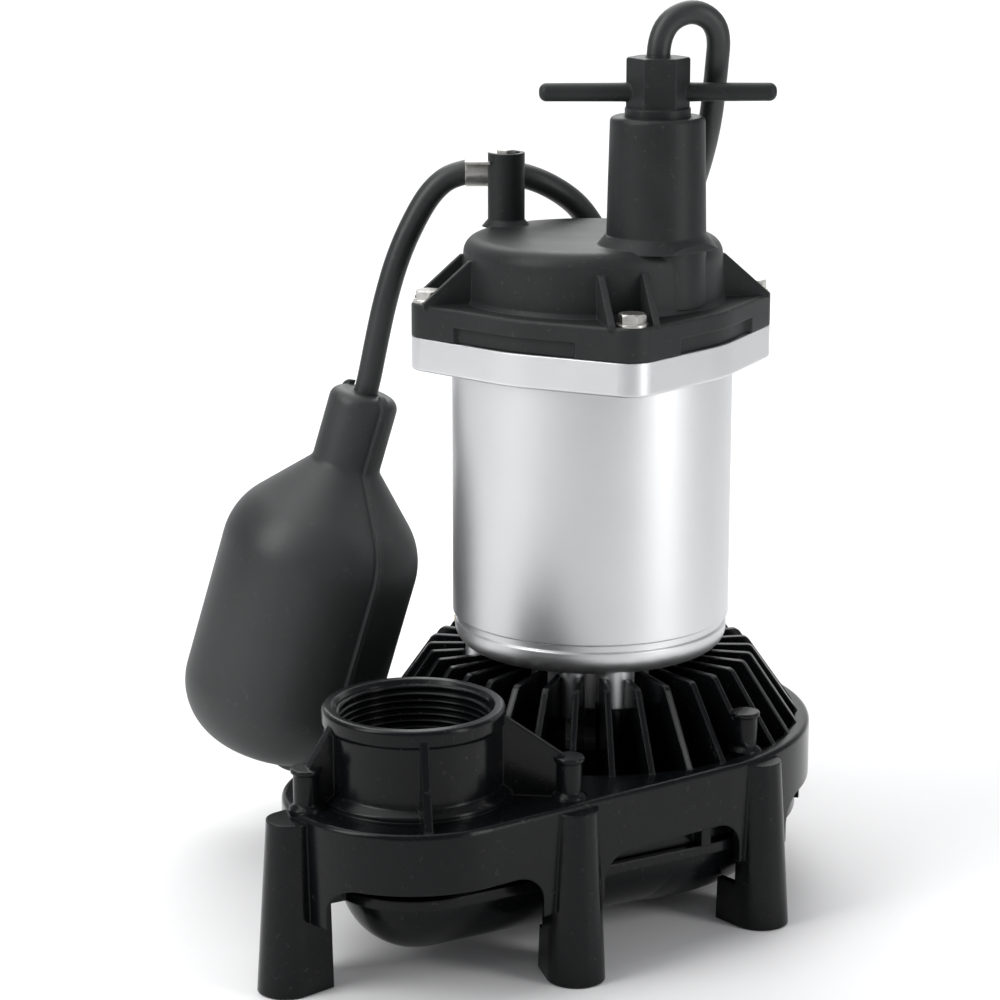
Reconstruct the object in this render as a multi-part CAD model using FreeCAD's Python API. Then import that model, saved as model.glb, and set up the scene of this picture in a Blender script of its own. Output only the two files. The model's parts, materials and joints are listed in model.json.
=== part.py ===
import FreeCAD, Part
import math
import os

# Submersible sump pump, millimetres, +Z up.
# Everything is laid out about the motor axis, from the level of the floor under the legs.
# The front cap lug points along -Y and the right one along +X. At the end every sub-part is
# moved by stand_at, so that the middle of the pump, without its free cords, is the origin.
# The base and the cord stack are laid out square to the front of the base, which is
# turned a little from the lugs: turned() takes a point in that layout.

V = FreeCAD.Vector
UP = V(0, 0, 1)
ORIGIN = V(0, 0, 0)

# fits
running_fit = 0.08       # radial, between parts that turn or slide on each other
press_gap = 0.05         # radial, between parts that are pressed or seated together
body_gap = 0.35          # between parts that move past each other

stand_at = (28.9, 10.5)   # where the motor axis stands

# base
front_turn = -11.2       # degrees from the lug axes to the front of the base
deck_top = 56.8
deck_thick = 3.5
deck_r = 74.5            # round part, about the motor axis
lobe_at = (-57.4, -83.0)  # discharge axis, in the base layout
lobe_r = 41.5
skirt_wall = 3.0
arch_top = 37.4
arch_corner = 9.0
arch_web = 1.2           # of skirt left beside a leg
arch_reach = 42.0        # how far the arch tools run, in and out
inlet_floor_top = 49.0
inlet_floor_thick = 3.0
eye_r = 21.0
skirt_webs = ((-60.0, 3.6), (-12.0, 2.4), (8.0, 2.4), (75.0, 2.4), (105.0, 2.4), (165.0, 2.4))

# discharge
collar_r = 28.75
collar_top = 85.2
collar_lip = 6.0
thread_r = 24.2          # wall of the 1-1/2 inch female thread
thread_depth = 27.0

# volute
split_z = 30.0           # parting plane between the base and the lower casing
channel_r = 24.0
channel_off = 43.2       # from the motor axis to the channel's centreline
channel_dir = 30.0       # degrees, in the base layout, from the discharge inwards
casing_wall = 3.0
flange_thick = 3.5
casing_way = 14.0        # down to here the base's legs stand clear of the lower casing
bowl_sink = 0.8          # how far the volute's floor lies below the channel

# legs: (boss x, boss y, facing) in the base layout
legs = {
    "nose": (-90.1, -100.0, 222.0),
    "front": (-8.9, -88.8, -76.0),
    "right": (49.3, -43.5, -50.0),
    "back_right": (50.5, 41.0, 41.0),
    "back_left": (-50.5, 41.0, 139.0),
}
leg_out = 6.5            # from the boss to the axis of the leg's round front
leg_r_top = 7.4
leg_r_foot = 9.3
leg_flare = 2.2
leg_wall = 2.6
leg_depth = 9.0
boss_r = 4.0
boss_cap_r = 4.8
boss_top = 70.0

# screws that point up
casing_screw_r = 1.9
motor_screw_r = 2.4
motor_head_r = 4.0

# inlet fins
fin_count = 34
fin_first = -97.0        # degrees from +X, lug axes
fin_thick = 2.1
fin_top = 80.0
fin_inner = 34.0
fin_bend = 54.5
fin_outer = 69.5

# motor housing
housing_r = 46.4
housing_wall = 2.6
housing_bottom = 81.5
housing_top = 188.0
housing_floor = 4.0
rim_r = housing_r - 0.7
rim_top = 89.8
groove_top = 92.2
groove_depth = 1.4
flange_bottom = 177.0
flange_r = housing_r + 3.6
lug_circle = housing_r + 5.0
lug_r = 9.0
screw_circle = housing_r + 8.3
post_circle = 37.0
post_r = 5.8
post_bottom = 70.0
post_gap = 0.4           # round the posts and pins where they pass the inlet fins
pin_angles = (-112.5, 67.5)
pin_circle = 35.5
pin_r = 4.4
pin_bottom = 66.0
bearing_boss_r = 20.0
bearing_boss_bottom = 62.0
bracket_step = 166.0
window_angles = (30.0, 150.0, 270.0)  # the upper bracket's windows, where the leads pass
lead_circle = 27.0
splice_bottom = 189.8
head_low = 15.0          # the coil heads' reach below and above the stack
head_high = 13.0

# rotating set
shaft_r = 6.0
shaft_bottom = 29.0
shaft_top = 173.0
impeller_r = 32.0
impeller_bottom = 31.0
impeller_top = 45.0
core_bottom = 106.0
core_top = 148.0
rotor_r = 22.0
insert_r = 7.0
air_gap = 0.4
ball_count = 8
ball_r = 2.3
ball_circle = 10.9
bearing_r = 16.0
bearing_bottom = 70.0
bearing_width = 10.0
upper_bush_r = 9.5
seat_r = 13.0            # the seal's fixed seat
seat_depth = 5.0

# cap
cap_gap = 0.3            # gasket line between housing and cap
cap_flange = 10.7
drum_r = 43.0
drum_top = 219.4
cap_wall = 3.4
clamp_post = (-23.3, 28.5)
clamp_post_r = 6.2
clamp_seat = 239.9
tower_at = (15.5, -22.8)
tower_r = 15.2
tower_foot_r = 16.6
tower_top = 260.4
gland_r = 10.6
gland_floor = 224.0

# gland nut
nut_flats = 17.6
nut_bottom = 262.6
nut_top = 279.0
bar_z = 268.0
bar_r = 3.0
bar_half = 37.8
bar_turn = -10.0
nut_stem_bottom = 251.0
follower_thick = 2.6

# cords
power_cord_d = 7.6
float_cord_d = 8.4
coil_across = 10.7       # coil diameter at the middle of its turns, in cord diameters
coil_rows = 4
coil_columns = 2
stack_at = (2.0, 141.0)  # centre of the two coils, in the base layout

# plugs
plug_grip = 28.0         # strain relief
plug_length = 26.0
plug_width = 27.0
plug_height = 23.0
piggy_length = 34.0
piggy_extra = 2.0        # the switch's plug is this much wider and higher
blade_half = 6.35        # half the spacing of the flat blades

# clamp
clamp_at = (-38.0, 36.0)  # in the base layout
clamp_z = 235.6
clamp_width = 8.4
clamp_sheet = 0.9
clamp_screw_r = 1.8
clamp_pad_r = 4.3

# float switch, along its own axis from the bottom
float_bottom = (-113.9, 36.0, 30.4)  # in the base layout
float_top = (-76.6, 36.0, 159.3)
float_r = 34.6
float_shell = 2.4
float_neck_r = 12.0
seam_angle = -53.0       # degrees, in the base layout
seam_proud = 1.6
seam_half = 1.1
float_ball_r = 8.0
float_ball_low = 20.0
float_ball_travel = 31.0
guide_foot = 11.6
guide_top = 62.0
bridge_hole_r = 4.2
switch_low = 78.0
lever_arm = 5.2          # from the lever's pin to its finger, on the float's axis
lever_half = 1.5         # half the lever's width
lever_z = 74.8

made = {}


def node(name, *solids):
    """Keeps one sub-part, a solid or a group of separate solids."""
    made[name] = solids[0] if len(solids) == 1 else Part.makeCompound(list(solids))


# ---------------------------------------------------------------- small geometry


def turn_point(x, y, degrees):
    a = math.radians(degrees)
    return x * math.cos(a) - y * math.sin(a), x * math.sin(a) + y * math.cos(a)


def turned(x, y, z=0.0):
    """A point of the base layout, in the part's own frame."""
    return V(*turn_point(x, y, front_turn), z)


def polar(radius, degrees, z=0.0):
    a = math.radians(degrees)
    return V(radius * math.cos(a), radius * math.sin(a), z)


def disc(radius, low, high, at=(0.0, 0.0)):
    return Part.makeCylinder(radius, high - low, V(at[0], at[1], low))


def ring(outer, inner, low, high, at=(0.0, 0.0)):
    return disc(outer, low, high, at).cut(disc(inner, low - 1, high + 1, at))


def cone(low_r, high_r, low, high, at=(0.0, 0.0)):
    return Part.makeCone(low_r, high_r, high - low, V(at[0], at[1], low))


def rod(radius, start, end):
    return Part.makeCylinder(radius, (end - start).Length, start, end - start)


def fuse(*shapes):
    return joined(*shapes).removeSplitter()


def joined(*shapes):
    whole = shapes[0]
    for shape in shapes[1:]:
        whole = whole.fuse(shape)
    return whole


def around(shape, count, first=0.0):
    """Copies of a shape, evenly spaced about Z."""
    copies = []
    for k in range(count):
        copy = shape.copy()
        copy.rotate(ORIGIN, UP, first + 360.0 * k / count)
        copies.append(copy)
    return copies


def placed(shape, turn, at):
    copy = shape.copy()
    copy.rotate(ORIGIN, UP, turn)
    copy.translate(at)
    return copy


def rounded_wire(corners, lift):
    """A closed wire through corners (u, v, radius), each rounded by its radius."""
    count = len(corners)
    marks = []
    for k, (u, v, radius) in enumerate(corners):
        here = lift(u, v)
        before = lift(*corners[k - 1][:2]) - here
        after = lift(*corners[(k + 1) % count][:2]) - here
        before.normalize()
        after.normalize()
        if radius == 0:
            marks.append((here, None, here))
            continue
        half = before.getAngle(after) / 2
        middle = before + after
        middle.normalize()
        centre = here + middle * (radius / math.sin(half))
        cut = radius / math.tan(half)
        marks.append((here + before * cut, centre - middle * radius, here + after * cut))
    edges = []
    for k, (enter, middle, leave) in enumerate(marks):
        if middle is not None:
            edges.append(Part.Arc(enter, middle, leave).toShape())
        following = marks[(k + 1) % count][0]
        if (following - leave).Length > 1e-6:
            edges.append(Part.LineSegment(leave, following).toShape())
    return Part.Wire(edges)


def prism(corners, low, high):
    """A flat outline of (x, y, radius) corners, raised from low to high."""
    face = Part.Face(rounded_wire(corners, lambda u, v: V(u, v, low)))
    return face.extrude(UP * (high - low))


def turned_solid(corners, angle=360.0):
    """A profile of (radius, z, rounding) corners, spun about Z from +X."""
    face = Part.Face(rounded_wire(corners, lambda u, v: V(u, 0, v)))
    return face.revolve(ORIGIN, UP, angle)


def plate(corners, thick):
    """A profile of (x, z, rounding) corners as a plate, centred on the XZ plane."""
    face = Part.Face(rounded_wire(corners, lambda u, v: V(u, -thick / 2, v)))
    return face.extrude(V(0, thick, 0))


def hexagon(flats, low, high, at=(0.0, 0.0), turn=0.0):
    radius = flats / math.sqrt(3)
    corners = [(*turn_point(radius, 0, turn + 60 * k), 0) for k in range(6)]
    body = prism(corners, low, high)
    body.translate(V(at[0], at[1], 0))
    return body


def scroll(main_r, lobe_radius, low, high):
    """The base's outline: the round part and the lobe, joined by their two tangents."""
    start, lobe = turned(0, 0), turned(*lobe_at)
    away = math.degrees(math.atan2(lobe.y, lobe.x))
    spread = math.degrees(math.acos((main_r - lobe_radius) / (lobe - start).Length))
    lift = UP * low
    a, b = polar(main_r, away + spread) + lift, polar(main_r, away - spread) + lift
    c = lobe + polar(lobe_radius, away - spread) + lift
    d = lobe + polar(lobe_radius, away + spread) + lift
    edges = [
        Part.Arc(a, polar(main_r, away + 180) + lift, b).toShape(),
        Part.LineSegment(b, c).toShape(),
        Part.Arc(c, lobe + polar(lobe_radius, away) + lift, d).toShape(),
        Part.LineSegment(d, a).toShape(),
    ]
    return Part.Face(Part.Wire(edges)).extrude(UP * (high - low))


def leg_axis(name):
    x, y, facing = legs[name]
    dx, dy = turn_point(leg_out, 0, facing)
    return turned(x + dx, y + dy)


# ---------------------------------------------------------------- volute space


def channel_line():
    """The discharge channel's two ends: under the collar and beside the motor axis."""
    start = turned(*lobe_at)
    end = turned(*turn_point(0, -channel_off, channel_dir))
    return start, end


def volute_plan(shrink, low, high):
    """The plan of the volute and its channel, shrunk by a wall, with upright sides."""
    radius = channel_r - shrink
    start, end = channel_line()
    side = V(-(end - start).y, (end - start).x, 0)
    side.normalize()
    corners = [start + side * radius, end + side * radius, end - side * radius, start - side * radius]
    return fuse(
        disc(channel_off + radius, low, high),
        disc(radius, low, high, (start.x, start.y)),
        prism([(p.x, p.y, 0) for p in corners], low, high),
    )


def volute_space(shrink, low, high):
    """The volute and its channel, shrunk by a wall, from low to high, rounded below the split."""
    radius = channel_r - shrink
    if low >= split_z - 1:
        return volute_plan(shrink, low, high)
    start, end = channel_line()
    lift = UP * split_z
    bowl = turned_solid([
        (0, split_z - radius - bowl_sink, 0),
        (channel_off + radius, split_z - radius - bowl_sink, radius * 0.98),
        (channel_off + radius, split_z, 0),
        (0, split_z, 0),
    ])
    along = rod(radius, start + lift, end + lift)
    rounded = fuse(bowl, along, Part.makeSphere(radius, start + lift))
    keep = Part.makeBox(400, 400, split_z - low, V(-200, -200, low))
    rounded = rounded.common(keep)
    if high > split_z:
        rounded = rounded.fuse(volute_plan(shrink, split_z, high))
    return rounded


# ---------------------------------------------------------------- base casing


def leg(name):
    """One leg: a rounded channel, open to the inside, that flares towards the foot."""
    reach = deck_top - deck_thick / 2

    def section(r, shift, back, z):
        points = [V(shift, r, z), V(shift + r, 0, z), V(shift, -r, z), V(-back, -r, z), V(-back, r, z)]
        edges = [
            Part.Arc(points[0], points[1], points[2]).toShape(),
            Part.LineSegment(points[2], points[3]).toShape(),
            Part.LineSegment(points[3], points[4]).toShape(),
            Part.LineSegment(points[4], points[0]).toShape(),
        ]
        return Part.Wire(edges)

    outer = Part.makeLoft([
        section(leg_r_foot, leg_flare, leg_depth, 0),
        section(leg_r_top, 0, leg_depth, reach),
    ], True, True)
    inner_top = deck_top - deck_thick - 2
    inner = Part.makeLoft([
        section(leg_r_foot - leg_wall, leg_flare, leg_depth + 4, -1),
        section(leg_r_top - leg_wall, 0, leg_depth + 4, inner_top),
    ], True, True)
    facing = legs[name][2] + front_turn
    at = leg_axis(name)
    return placed(outer, facing, at), placed(inner, facing, at)


def arch(first, second):
    """A tool that opens the skirt below its arch, between two neighbouring legs."""
    a, b = leg_axis(first), leg_axis(second)
    span = b - a
    half = span.Length / 2 - leg_r_foot - arch_web
    corners = [(-half, -5, 0), (half, -5, 0), (half, arch_top, arch_corner), (-half, arch_top, arch_corner)]
    face = Part.Face(rounded_wire(corners, lambda u, v: V(-arch_reach, u, v)))
    tool = face.extrude(V(2 * arch_reach, 0, 0))
    facing = math.degrees(math.atan2(span.y, span.x)) - 90
    return placed(tool, facing, (a + b) * 0.5)


def skirt():
    """The wall under the deck's edge, with an arch between each pair of legs."""
    wall = scroll(deck_r, lobe_r, arch_top - arch_corner * 1.6, deck_top - deck_thick)
    wall = wall.cut(scroll(deck_r - skirt_wall, lobe_r - skirt_wall, -1, deck_top))
    names = list(legs)
    for k, name in enumerate(names):
        wall = wall.cut(arch(name, names[(k + 1) % len(names)]))
    return wall


def fins():
    """The inlet strainer: radial plates that run out level and then slope to the deck."""
    floor = inlet_floor_top - 1
    blade = plate([
        (fin_inner, floor, 0),
        (fin_outer + 1.5, floor, 0),
        (fin_outer + 1.5, deck_top - 0.4, 0),
        (fin_bend, fin_top, 2.5),
        (fin_inner, fin_top, 0),
    ], fin_thick)
    return around(blade, fin_count, fin_first)


def collar():
    """The discharge collar with its lip and foot ring, without its bore."""
    at = turned(*lobe_at)
    body = turned_solid([
        (0, deck_top - deck_thick, 0),
        (collar_r + 2.2, deck_top - deck_thick, 0),
        (collar_r + 2.2, deck_top + 1.4, 0.8),
        (collar_r - 0.7, deck_top + 3.4, 0.8),
        (collar_r - 0.7, collar_top - collar_lip, 0.6),
        (collar_r, collar_top - collar_lip + 1.2, 0.6),
        (collar_r, collar_top, 1.3),
        (0, collar_top, 0),
    ])
    return placed(body, 0, at)


def collar_rib(facing, reach, reach_z, thick):
    """A gusset from the collar's lip down and out to reach, in the base layout."""
    corners = [
        (thread_r + 2, deck_top - 1, 0),
        (reach, deck_top - 1, 0),
        (reach, reach_z, 0),
        (collar_r - 0.4, collar_top - 2.6, 0),
        (thread_r + 2, collar_top - 2.6, 0),
    ]
    return placed(plate(corners, thick), facing + front_turn, turned(*lobe_at))


def collar_ribs():
    ribs = [collar_rib(-82, lobe_r - 1.6, deck_top - 0.2, 2.8)]
    for name, thick in (("nose", 2.8), ("front", 2.0)):
        dx, dy = legs[name][0] - lobe_at[0], legs[name][1] - lobe_at[1]
        facing = math.degrees(math.atan2(dy, dx))
        ribs.append(collar_rib(facing, math.hypot(dx, dy), boss_top - 0.6, thick))
    return ribs


def deck_boss(name):
    at = turned(*legs[name][:2])
    body = turned_solid([
        (0, deck_top - 2, 0),
        (boss_r + 1.4, deck_top - 2, 0),
        (boss_r + 1.4, deck_top + 0.6, 0),
        (boss_r, deck_top + 1.8, 0),
        (boss_r, boss_top - 1.8, 0),
        (boss_cap_r, boss_top - 1.4, 0.3),
        (boss_cap_r, boss_top, 0.5),
        (0, boss_top, 0),
    ])
    return placed(body, 0, at)


def screw_pillar(name):
    """The pillar inside a leg that the lower casing's screw bites into."""
    at = leg_axis(name)
    return disc(leg_r_top - leg_wall + 0.4, split_z + body_gap, deck_top - 2, (at.x, at.y))


def casing_screw_hole(name):
    at = leg_axis(name)
    return disc(casing_screw_r, split_z - 20, split_z + 16, (at.x, at.y))


def motor_seats():
    """Four pillars under the housing's posts."""
    seats = []
    for k in range(4):
        at = polar(post_circle, 90 * k)
        low = inlet_floor_top - inlet_floor_thick
        seats.append(disc(post_r + 0.6, low, post_bottom, (at.x, at.y)))
    return seats


def base_casing():
    deck_low = deck_top - deck_thick
    deck = scroll(deck_r, lobe_r, deck_low, deck_top)
    deck = deck.makeFillet(1.6, [e for e in deck.Edges if min(v.Z for v in e.Vertexes) > deck_top - 0.1])
    deck = deck.cut(disc(fin_outer, deck_low - 1, deck_top + 1))
    outer_legs, inner_legs = zip(*[leg(name) for name in legs])
    shell = fuse(deck, skirt(), *outer_legs)
    for hollow in inner_legs:
        shell = shell.cut(hollow)
    inlet = [
        disc(fin_outer + 1, inlet_floor_top - inlet_floor_thick, inlet_floor_top),
        ring(fin_outer + 2.5, fin_outer, inlet_floor_top - 1, deck_low + 1),
    ]
    upper_outer = volute_space(0, split_z, deck_low + 1)
    upper_outer = upper_outer.cut(disc(fin_outer + 1, inlet_floor_top, deck_top))
    upper_inner = volute_space(casing_wall, split_z - 1, inlet_floor_top - inlet_floor_thick)
    webs = []
    for facing, thick in skirt_webs:
        web = plate([
            (channel_off + channel_r - 1, split_z + body_gap, 0),
            (deck_r - skirt_wall + 0.5, split_z + body_gap, 0),
            (deck_r - skirt_wall + 0.5, deck_low + 1, 0),
            (channel_off + channel_r - 1, deck_low + 1, 0),
        ], thick)
        webs.append(placed(web, facing + front_turn, ORIGIN))
    pillars = [screw_pillar(name) for name in legs]
    bosses = [deck_boss(name) for name in legs]
    lobe = turned(*lobe_at)
    body = joined(shell, upper_outer, *inlet, *webs, *pillars, *bosses, collar(), *collar_ribs())
    body = body.cut(upper_inner)
    body = body.cut(volute_space(casing_wall, split_z - 1, deck_low - 1).common(
        disc(lobe_r + 12, 0, deck_top, (lobe.x, lobe.y)).cut(disc(fin_outer + 1, 0, deck_top))))
    body = body.cut(disc(eye_r, split_z, inlet_floor_top + 1))
    body = body.fuse(fins() + motor_seats())
    for k in range(4):
        at = polar(post_circle, 90 * k)
        body = body.cut(disc(post_r + post_gap, post_bottom, fin_top + 1, (at.x, at.y)))
    for angle in pin_angles:
        at = polar(pin_circle, angle)
        body = body.cut(disc(pin_r + post_gap, pin_bottom - post_gap, fin_top + 1, (at.x, at.y)))
    bore_low = collar_top - thread_depth
    body = body.cut(disc(thread_r, bore_low, collar_top + 1, (lobe.x, lobe.y)))
    body = body.cut(disc(channel_r - casing_wall, split_z, bore_low + 1, (lobe.x, lobe.y)))
    lead_in = cone(thread_r, thread_r + 1.4, collar_top - 1.4, collar_top + 0.001, (lobe.x, lobe.y))
    body = body.cut(lead_in)
    body = body.cut(volute_plan(-casing_wall - body_gap, casing_way, split_z + body_gap))
    for name in legs:
        body = body.cut(casing_ear(name, body_gap, casing_way, split_z + body_gap))
        body = body.cut(casing_screw_hole(name))
    for k in range(4):
        at = polar(post_circle, 90 * k)
        body = body.cut(disc(motor_screw_r + 0.3, 40, 80, (at.x, at.y)))
        body = body.cut(disc(motor_head_r + 0.4, 40, inlet_floor_top + 3.2, (at.x, at.y)))
    return body


# ---------------------------------------------------------------- lower casing


def casing_ear(name, grow, low, high):
    """The arm of the lower casing's flange that reaches a leg's screw pillar, grown by a gap."""
    at = leg_axis(name)
    start, end = channel_line()
    inner = start if name == "nose" else ORIGIN
    if name == "front":
        inner = (start + end) * 0.5
    way = at - inner
    length = way.Length
    angle = math.degrees(math.atan2(way.y, way.x))
    half = leg_r_top - leg_wall - 0.5 + grow
    near = channel_r * 0.8
    arm = Part.makeBox(length - near, half * 2, high - low, V(near, -half, low))
    return fuse(placed(arm, angle, inner), disc(half, low, high, (at.x, at.y)))


def lower_casing():
    low = split_z - channel_r
    outer = volute_space(0, low - 1, split_z)
    flange_low = split_z - flange_thick
    rim = volute_plan(-casing_wall, flange_low, split_z)
    body = fuse(outer, rim, *[casing_ear(name, 0, flange_low, split_z) for name in legs])
    body = body.cut(volute_space(casing_wall, low, split_z + 1))
    for name in legs:
        at = leg_axis(name)
        body = body.cut(disc(casing_screw_r + 0.35, split_z - 10, split_z + 1, (at.x, at.y)))
    return body


def pan_screw(radius, head_r, head_low, head_high, tip, at):
    """A screw that points up: its head below, its tip above."""
    head = disc(head_r, head_low, head_high, at)
    head = head.makeFillet(0.7, [e for e in head.Edges if e.Vertexes[0].Z < head_low + 0.1 and e.Closed])
    slot = Part.makeBox(head_r * 1.3, 0.9, 1.4, V(at[0] - head_r * 0.65, at[1] - 0.45, head_low - 0.1))
    cross = Part.makeBox(0.9, head_r * 1.3, 1.4, V(at[0] - 0.45, at[1] - head_r * 0.65, head_low - 0.1))
    shank = disc(radius, head_high - 0.1, tip, at)
    point = cone(radius, radius * 0.3, tip, tip + 2, at)
    return fuse(head, shank, point).cut(slot).cut(cross)


def casing_screws():
    screws = []
    for name in legs:
        at = leg_axis(name)
        top = split_z - flange_thick
        screws.append(pan_screw(casing_screw_r - press_gap, 3.6, top - 2.6, top, split_z + 12, (at.x, at.y)))
    return screws


def motor_screws():
    screws = []
    for k in range(4):
        at = polar(post_circle, 90 * k)
        seat = inlet_floor_top + 3.2
        screws.append(pan_screw(motor_screw_r - press_gap, motor_head_r, seat - 3, seat,
                                post_bottom + 7, (at.x, at.y)))
    return screws


# ---------------------------------------------------------------- motor


def lugged(circle_r, tip_r, low, high):
    """The flange outline: a disc with four lugs whose flanks are tangents of the disc."""
    parts = [disc(circle_r, low, high)]
    spread = math.degrees(math.acos((circle_r - tip_r) / lug_circle))
    for k in range(4):
        away = 90 * k
        tip = polar(lug_circle, away)
        points = [
            polar(circle_r, away + spread),
            tip + polar(tip_r, away + spread),
            tip + polar(tip_r, away - spread),
            polar(circle_r, away - spread),
        ]
        parts.append(prism([(p.x, p.y, 0) for p in points], low, high))
        parts.append(disc(tip_r, low, high, (tip.x, tip.y)))
    return fuse(*parts)


def motor_housing():
    inner = housing_r - housing_wall
    floor_top = housing_bottom + housing_floor
    can = turned_solid([
        (0, bearing_boss_bottom, 0),
        (bearing_boss_r, bearing_boss_bottom, 1.5),
        (bearing_boss_r, housing_bottom, 2),
        (rim_r, housing_bottom, 6.5),
        (rim_r, rim_top, 0.4),
        (rim_r - groove_depth + 0.7, rim_top + 0.2, 0),
        (rim_r - groove_depth + 0.7, groove_top, 0),
        (housing_r, groove_top + 0.6, 0),
        (housing_r, housing_top, 0),
        (0, housing_top, 0),
    ])
    flange = lugged(flange_r, lug_r, flange_bottom, housing_top)
    flange = flange.makeFillet(1.0, [e for e in flange.Edges if is_level(e, flange_bottom)])
    posts = []
    for k in range(4):
        at = polar(post_circle, 90 * k)
        posts.append(disc(post_r, post_bottom, housing_bottom + 1, (at.x, at.y)))
    pins = []
    for angle in pin_angles:
        at = polar(pin_circle, angle)
        pins.append(disc(pin_r, pin_bottom, housing_bottom + 1, (at.x, at.y)))
    body = fuse(can, flange, *posts, *pins)
    body = body.cut(turned_solid([
        (0, floor_top, 0),
        (inner, floor_top, 3),
        (inner, bracket_step, 0),
        (inner + 0.8, bracket_step, 0),
        (inner + 0.8, housing_top + 1, 0),
        (0, housing_top + 1, 0),
    ]))
    body = body.cut(disc(bearing_r + press_gap, bearing_bottom, floor_top + 1))
    body = body.cut(disc(shaft_r + 1.4, bearing_boss_bottom - 1, bearing_bottom + 1))
    body = body.cut(disc(seat_r + press_gap, bearing_boss_bottom - 1, bearing_boss_bottom + seat_depth))
    body = body.cut(ring(48.9, 45.9, housing_top - 2.0, housing_top + 1))
    for k in range(4):
        at = polar(screw_circle, 90 * k)
        body = body.cut(disc(2.15, flange_bottom + 2, housing_top + 1, (at.x, at.y)))
        at = polar(post_circle, 90 * k)
        body = body.cut(disc(motor_screw_r, post_bottom - 1, post_bottom + 10, (at.x, at.y)))
    return body


def is_level(edge, z):
    return all(abs(v.Z - z) < 1e-4 for v in edge.Vertexes)


def stator_core():
    """The laminated stack with its winding slots."""
    stack = ring(housing_r - housing_wall - press_gap, rotor_r + air_gap, core_bottom, core_top)
    slot = Part.makeBox(9.5, 3.4, core_top - core_bottom + 2, V(27, -1.7, core_bottom - 1))
    mouth = Part.makeBox(8, 1.2, core_top - core_bottom + 2, V(rotor_r - 2, -0.6, core_bottom - 1))
    return stack.cut(Part.makeCompound(around(slot, 18)).fuse(around(mouth, 18)))


def stator_windings():
    """The coil heads above and below the stack, and the bundles through its slots."""
    heads = []
    for low, high in ((core_bottom - head_low, core_bottom - 0.3), (core_top + 0.3, core_top + head_high)):
        heads.append(turned_solid([(26, low, 3), (39.5, low, 5), (39.5, high, 2), (26, high, 2)]))
    bundle = Part.makeBox(8.5, 2.8, core_top - core_bottom + 2, V(27.5, -1.4, core_bottom - 1))
    return fuse(*heads, *around(bundle, 18))


def rotor_core():
    hole = shaft_r + press_gap
    return ring(rotor_r, hole, core_bottom, core_top)


def rotor_end_rings():
    rings = []
    for low, high in ((core_bottom - 5, core_bottom), (core_top, core_top + 5)):
        rings.append(ring(rotor_r - 1.5, rotor_r - 8, low, high))
    return rings


def motor_shaft():
    shaft = turned_solid([
        (0, shaft_bottom, 0),
        (4.6, shaft_bottom, 0.6),
        (4.6, impeller_top, 0),
        (shaft_r, impeller_top, 0),
        (shaft_r, shaft_top, 0.8),
        (0, shaft_top, 0),
    ])
    return shaft


def upper_bracket():
    """The plate across the top of the motor that holds the upper bearing."""
    seat = bracket_step
    plate_r = housing_r - housing_wall + 0.8 - press_gap
    body = fuse(
        ring(plate_r, upper_bush_r + press_gap, seat, seat + 3.2),
        ring(upper_bush_r + 3.2, upper_bush_r + press_gap, seat - 2, seat + 9),
    )
    window = ring(plate_r - 8, upper_bush_r + 8, seat - 3, seat + 12)
    window = window.common(Part.makeBox(60, 30, 30, V(0, -15, seat - 5)))
    return body.cut(Part.makeCompound([placed(window, angle, ORIGIN) for angle in window_angles]))


def upper_bush():
    return ring(upper_bush_r, shaft_r + running_fit, bracket_step - 1.5, bracket_step + 9)


def bearing_outer():
    race = ring(bearing_r, ball_circle + 1.3, bearing_bottom, bearing_bottom + bearing_width)
    return race.cut(ball_track())


def bearing_inner():
    race = ring(ball_circle - 1.3, shaft_r + press_gap, bearing_bottom, bearing_bottom + bearing_width)
    return race.cut(ball_track())


def ball_track():
    middle = bearing_bottom + bearing_width / 2
    return Part.makeTorus(ball_circle, ball_r + running_fit, V(0, 0, middle))


def bearing_balls():
    middle = bearing_bottom + bearing_width / 2
    ball = Part.makeSphere(ball_r, V(ball_circle, 0, middle))
    return around(ball, ball_count)


def bearing_cage():
    """The ribbon that spaces the balls, threaded between them."""
    middle = bearing_bottom + bearing_width / 2
    band = ring(ball_circle + 0.45, ball_circle - 0.45, middle - 1.4, middle + 1.4)
    pocket = Part.makeSphere(ball_r + running_fit, V(ball_circle, 0, middle))
    band = band.cut(Part.makeCompound(around(pocket, ball_count)))
    rims = ring(ball_circle + 0.45, ball_circle - 0.45, middle + 2.6, middle + 3.4)
    tabs = around(disc(0.45, middle + 1.2, middle + 2.8, (ball_circle, 0)), ball_count, 180 / ball_count)
    return fuse(band, rims, *tabs)


def seal_seat():
    return ring(seat_r, shaft_r + 1.0, bearing_boss_bottom + 0.2, bearing_boss_bottom + seat_depth - 0.1)


def seal_head():
    """The rotating half of the shaft seal: bellows, spring case and carbon face."""
    low, high = impeller_top + 0.1, bearing_boss_bottom + 0.2 - body_gap
    return turned_solid([
        (shaft_r + press_gap, low, 0),
        (11.0, low, 0.8),
        (11.0, low + 3.5, 0.5),
        (9.6, low + 4.2, 0.5),
        (9.6, low + 9, 0.5),
        (12.0, low + 9.8, 0.5),
        (12.0, high - 2.2, 0.3),
        (10.2, high - 2.2, 0),
        (10.2, high, 0),
        (shaft_r + press_gap, high, 0),
    ])


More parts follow.
